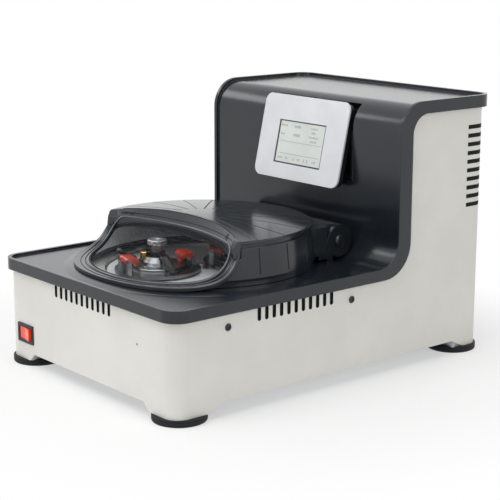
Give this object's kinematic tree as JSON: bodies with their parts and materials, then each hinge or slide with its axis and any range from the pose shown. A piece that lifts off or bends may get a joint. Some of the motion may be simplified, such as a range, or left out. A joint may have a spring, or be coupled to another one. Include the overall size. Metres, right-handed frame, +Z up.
{
  "type": "planetary ball mill",
  "caption": "Bench planetary ball mill with a stepped housing, a round hinged hood with a clear window over the bowl stations, and a tilted display on the rear tower.",
  "frame": {"origin": "centre of the footprint on the bench, at the underside of the feet", "axes": "+X to the operator's right, +Y from the front towards the rear, +Z up"},
  "size_m": [0.372, 0.528, 0.345],
  "materials": {
    "casing": "fine-textured off-white powder coat",
    "cover": "anthracite moulding with a fine texture",
    "foot_rubber": "matt black rubber",
    "zinc_steel": "zinc-plated sheet",
    "bright_steel": "bright turned and plated steel",
    "stainless": "stainless, satin",
    "black_plastic": "black moulding",
    "rocker_red": "red translucent rocker",
    "hood": "anthracite moulding, satin",
    "frame": "smooth dark grey",
    "pane": "clear acrylic bubble",
    "seal": "black glazing seal",
    "liner": "light grey felt-like lining",
    "silver_plate": "silver satin plate",
    "screen": "pale display glass",
    "cast_metal": "cast and machined",
    "motor_paint": "dark painted motor",
    "belt": "black belt",
    "brass": "turned brass",
    "clamp_black": "black burnished clamp",
    "latch_red": "orange-red grip pad",
    "board": "green circuit board"
  },
  "bodies": {
    "casing": {"base_tray": "zinc_steel", "feet": "foot_rubber", "casing_wrap": "casing", "rear_panel": "casing", "deck_cover": "cover", "tower_cover": "cover", "side_screws": "bright_steel", "mains_inlet": "black_plastic", "rocker_bezel": "black_plastic", "chamber_tub": "stainless", "hinge_cheeks": "cover", "hinge_pin": "bright_steel", "lock_housing": "black_plastic", "display_bracket": "black_plastic", "motor_mount": "zinc_steel", "motor": "motor_paint", "drive_belt": "belt", "bearing_housing": "cast_metal", "main_bearings": "bright_steel", "fixed_pulley": "cast_metal", "inverter": "zinc_steel", "control_board": "board", "fan_frame": "black_plastic"},
    "hood": {"hood_shell": "hood", "window_frame": "frame", "window_pane": "pane", "window_gasket": "seal", "hood_liner": "liner"},
    "display": {"display_plate": "silver_plate", "display_screen": "screen", "display_housing": "black_plastic"},
    "rocker": {"rocker_switch": "rocker_red"},
    "lock": {"lock_bolt": "bright_steel"},
    "rotor": {"motor_rotor": "bright_steel"},
    "sun": {"drive_pulley": "cast_metal", "main_shaft": "bright_steel", "sun_disk": "cast_metal", "planet_bearings": "bright_steel", "planet_belts": "belt"},
    "fan": {"fan_rotor": "black_plastic"},
    "planet_1": {"bowl_carrier_1": "stainless", "grinding_bowl_1": "stainless", "bowl_lid_1": "stainless", "gas_valve_1": "brass", "clamp_bow_1": "clamp_black"},
    "knob_1": {"lid_knob_1": "bright_steel"},
    "lever_1": {"clamp_lever_1": "clamp_black"},
    "latch_1a": {"latch_1a": "latch_red"},
    "latch_1b": {"latch_1b": "latch_red"},
    "planet_2": {"bowl_carrier_2": "stainless", "grinding_bowl_2": "stainless", "bowl_lid_2": "stainless", "gas_valve_2": "brass", "clamp_bow_2": "clamp_black"},
    "knob_2": {"lid_knob_2": "bright_steel"},
    "lever_2": {"clamp_lever_2": "clamp_black"},
    "latch_2a": {"latch_2a": "latch_red"},
    "latch_2b": {"latch_2b": "latch_red"}
  },
  "joints": [
    {"name": "hood_hinge", "type": "hinge", "parent": "casing", "child": "hood", "pos_m": [0, 0.066, 0.162], "axis": [-1, 0, 0], "range_deg": [0, 60]},
    {"name": "sun_spin", "type": "hinge", "parent": "casing", "child": "sun", "pos_m": [0, -0.078, 0.1], "axis": [0, 0, 1], "continuous": true},
    {"name": "motor_spin", "type": "hinge", "parent": "casing", "child": "rotor", "pos_m": [0, 0.186, 0.04], "axis": [0, 0, 1], "continuous": true},
    {"name": "display_tilt", "type": "hinge", "parent": "casing", "child": "display", "pos_m": [0.0075, 0.11, 0.314], "axis": [1, 0, 0], "range_deg": [0, 6]},
    {"name": "rocker_press", "type": "hinge", "parent": "casing", "child": "rocker", "pos_m": [-0.138, -0.2542, 0.0435], "axis": [0, 0, 1], "range_deg": [0, 12]},
    {"name": "lock_slide", "type": "slide", "parent": "casing", "child": "lock", "axis": [1, 0, 0], "range_m": [0, 0.008], "stiffness_N_per_m": 60},
    {"name": "fan_spin", "type": "hinge", "parent": "casing", "child": "fan", "pos_m": [0.06, 0.2425, 0.25], "axis": [0, 1, 0], "continuous": true},
    {"name": "planet_spin_1", "type": "hinge", "parent": "sun", "child": "planet_1", "pos_m": [-0.01794, -0.13525, 0.1], "axis": [0, 0, 1], "continuous": true},
    {"name": "knob_turn_1", "type": "hinge", "parent": "planet_1", "child": "knob_1", "pos_m": [-0.01794, -0.13525, 0.16], "axis": [0, 0, 1], "range_deg": [0, 360]},
    {"name": "lever_throw_1", "type": "hinge", "parent": "planet_1", "child": "lever_1", "pos_m": [-0.04098, -0.156, 0.144], "axis": [0.6691, -0.7431, 0], "range_deg": [0, 30]},
    {"name": "latch_lift_1a", "type": "hinge", "parent": "planet_1", "child": "latch_1a", "pos_m": [-0.0292, -0.17727, 0.1485], "axis": [0.9659, -0.2588, 0], "range_deg": [0, 35]},
    {"name": "latch_lift_1b", "type": "hinge", "parent": "planet_1", "child": "latch_1b", "pos_m": [-0.00668, -0.09324, 0.1485], "axis": [-0.9659, 0.2588, 0], "range_deg": [0, 35]},
    {"name": "planet_spin_2", "type": "hinge", "parent": "sun", "child": "planet_2", "pos_m": [0.01794, -0.02075, 0.1], "axis": [0, 0, 1], "continuous": true},
    {"name": "knob_turn_2", "type": "hinge", "parent": "planet_2", "child": "knob_2", "pos_m": [0.01794, -0.02075, 0.16], "axis": [0, 0, 1], "range_deg": [0, 360]},
    {"name": "lever_throw_2", "type": "hinge", "parent": "planet_2", "child": "lever_2", "pos_m": [-0.01137, -0.03084, 0.144], "axis": [0.3256, -0.9455, 0], "range_deg": [0, 30]},
    {"name": "latch_lift_2a", "type": "hinge", "parent": "planet_2", "child": "latch_2a", "pos_m": [-0.00884, -0.05502, 0.1485], "axis": [0.788, -0.6157, 0], "range_deg": [0, 35]},
    {"name": "latch_lift_2b", "type": "hinge", "parent": "planet_2", "child": "latch_2b", "pos_m": [0.04472, 0.01353, 0.1485], "axis": [-0.788, 0.6157, 0], "range_deg": [0, 35]}
  ],
  "couplings": [
    {"joint": "motor_spin", "follows": "sun_spin", "ratio": 2.5},
    {"joint": "planet_spin_1", "follows": "sun_spin", "ratio": -2},
    {"joint": "planet_spin_2", "follows": "sun_spin", "ratio": -2}
  ]
}
